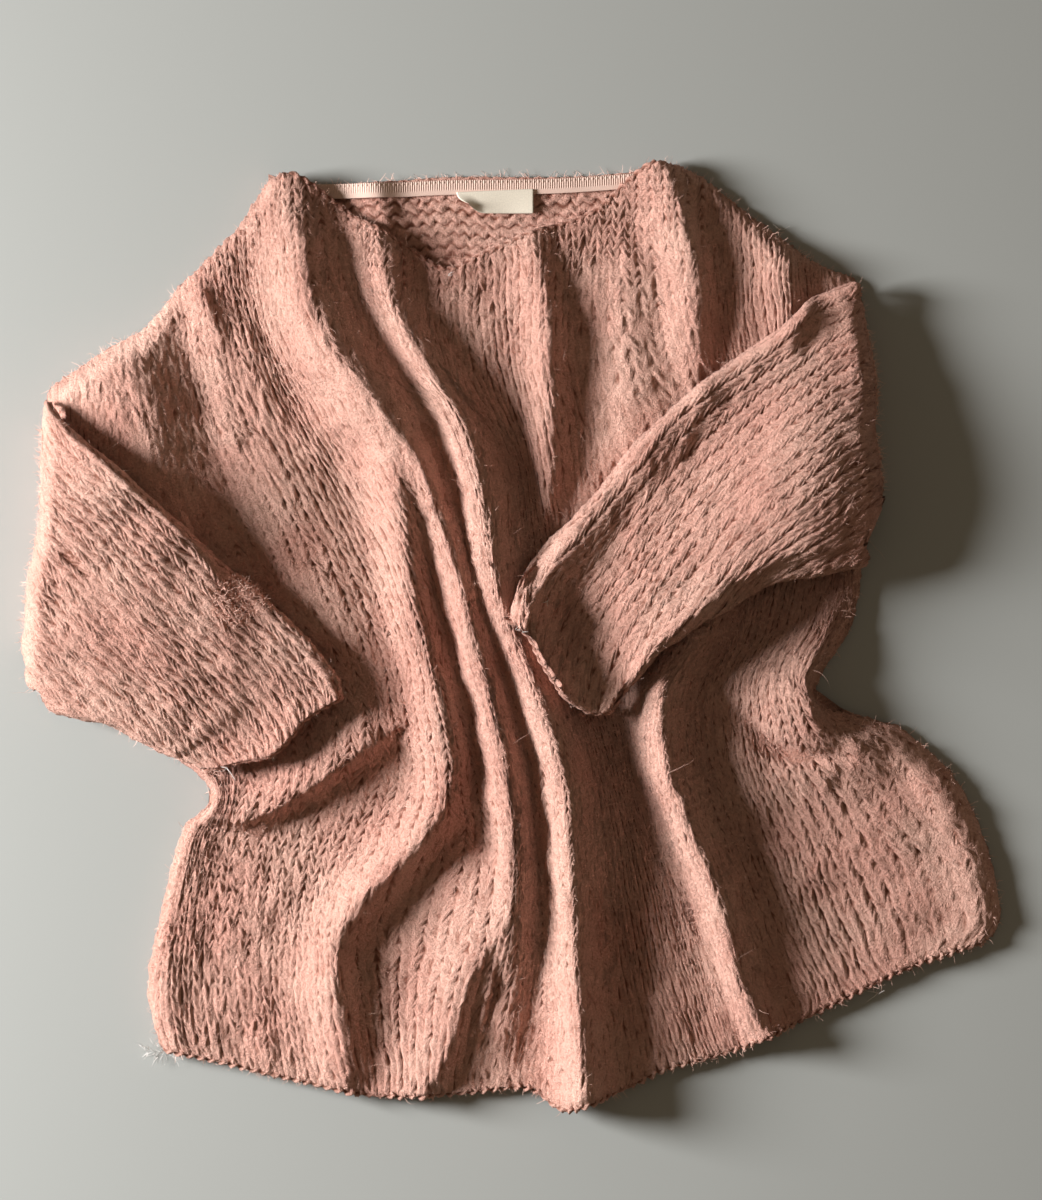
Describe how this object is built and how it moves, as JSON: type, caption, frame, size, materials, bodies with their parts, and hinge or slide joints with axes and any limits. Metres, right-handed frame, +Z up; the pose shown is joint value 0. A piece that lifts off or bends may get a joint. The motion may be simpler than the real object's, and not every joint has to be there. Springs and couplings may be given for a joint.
{
  "type": "darned sweater, laid flat with its sleeves folded over the front",
  "caption": "Oversized pullover in a bulky brushed knit, laid flat on its back, front in long soft folds, both wide sleeves folded in over it.",
  "frame": {"origin": "middle of the outline of the garment as it lies, on the surface that it lies on", "axes": "+Z up off the surface, +Y towards the neck, +X to the right for someone looking down on the front; left and right in node names are that viewer's"},
  "size_m": [0.7353, 0.7102, 0.0624],
  "materials": {
    "knit": "bulky brushed wool and alpaca stockinette, peach pink, worn and slightly felted",
    "neck_tape": "ribbed cotton twill tape, cream pink, stitched along its top edge",
    "label": "woven satin label, off-white, bare"
  },
  "bodies": {
    "root": {"back_panel": "knit", "front_panel": "knit", "left_sleeve": "knit", "right_sleeve": "knit", "neck_tape": "neck_tape", "label": "label"}
  },
  "joints": []
}
